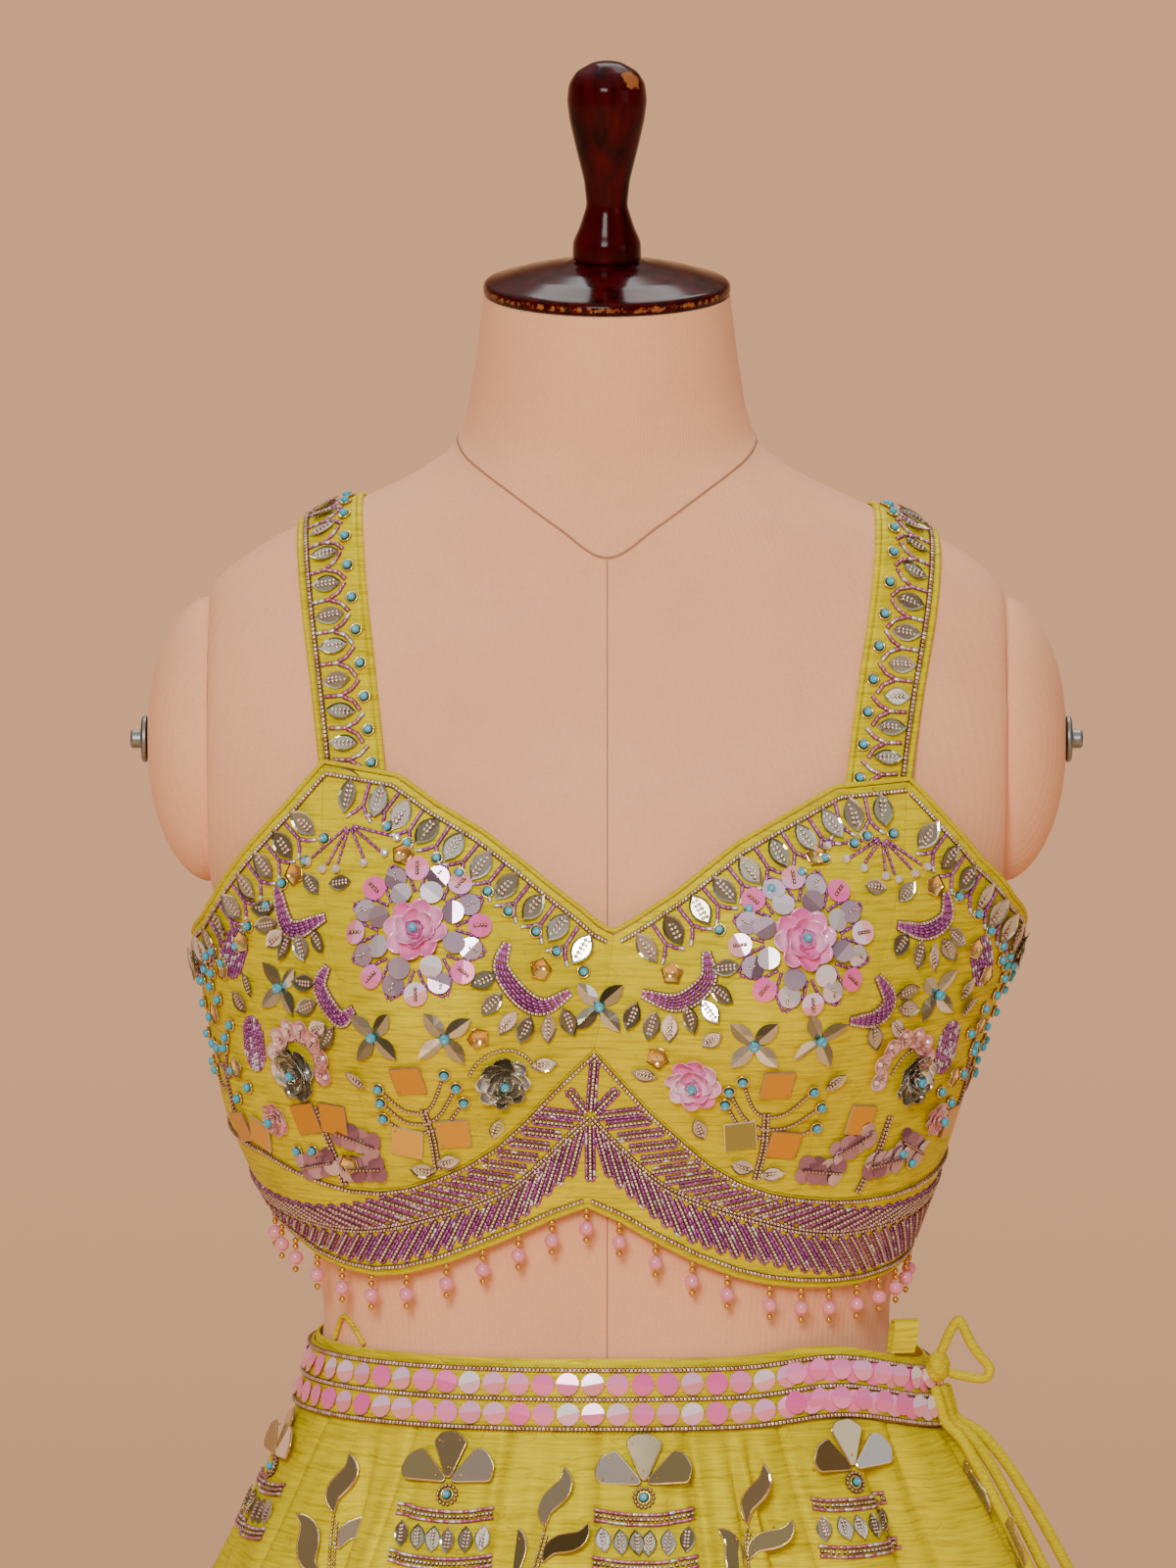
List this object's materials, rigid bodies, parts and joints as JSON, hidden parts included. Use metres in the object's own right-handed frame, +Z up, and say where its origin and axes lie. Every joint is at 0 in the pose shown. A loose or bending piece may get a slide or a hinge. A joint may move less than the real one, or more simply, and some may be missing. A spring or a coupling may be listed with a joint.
{
  "type": "lehenga choli set on a dress form",
  "caption": "Beaded strappy choli and flared kali-panelled lehenga skirt with a tied belt, worn by a limbless dress form on a stand.",
  "frame": {"origin": "centre of the stand's underside, on the floor, under the middle of the form", "axes": "+Z up, the front faces -Y, +X is the wearer's left"},
  "size_m": [1.0377, 0.9762, 1.6008],
  "materials": {
    "form_cover": "matt skin-coloured knit cover",
    "wood": "dark red lacquer, worn at the rim",
    "bolt": "dull steel",
    "stand": "black paint",
    "silk": "chartreuse raw silk",
    "belt": "silk under pink sequins",
    "bead": "pink glass beads",
    "rosette": "padded round under petal sequins"
  },
  "bodies": {
    "root": {"belt": "belt", "choli_back_left": "silk", "choli_back_placket": "silk", "choli_back_right": "silk", "choli_band_front": "silk", "choli_bead_fringe": "bead", "choli_cup_left": "silk", "choli_cup_right": "silk", "choli_piping": "silk", "choli_side_left": "silk", "choli_side_right": "silk", "choli_strap_left": "silk", "choli_strap_right": "silk", "form_arm_bolt_left": "bolt", "form_arm_bolt_right": "bolt", "form_arm_cap_left": "form_cover", "form_arm_cap_right": "form_cover", "form_finial": "wood", "form_neck_cap": "wood", "form_torso": "form_cover", "rosette_cup_left": "rosette", "rosette_cup_right": "rosette", "rosette_front_left": "rosette", "rosette_front_right": "rosette", "rosette_side_left": "rosette", "rosette_side_right": "rosette", "skirt_hanger_loop": "silk", "skirt_kali_01": "silk", "skirt_kali_02": "silk", "skirt_kali_03": "silk", "skirt_kali_04": "silk", "skirt_kali_05": "silk", "skirt_kali_06": "silk", "skirt_kali_07": "silk", "skirt_kali_08": "silk", "skirt_kali_09": "silk", "skirt_kali_10": "silk", "skirt_kali_11": "silk", "skirt_kali_12": "silk", "skirt_kali_13": "silk", "skirt_kali_14": "silk", "skirt_kali_15": "silk", "skirt_kali_16": "silk", "skirt_waistband": "silk", "stand_base": "stand", "stand_pole": "stand", "tie_knot": "silk", "tie_loop_cord": "silk", "tie_loop_ribbon": "silk", "tie_tail_long": "silk", "tie_tail_middle": "silk", "tie_tail_short": "silk"}
  },
  "joints": []
}
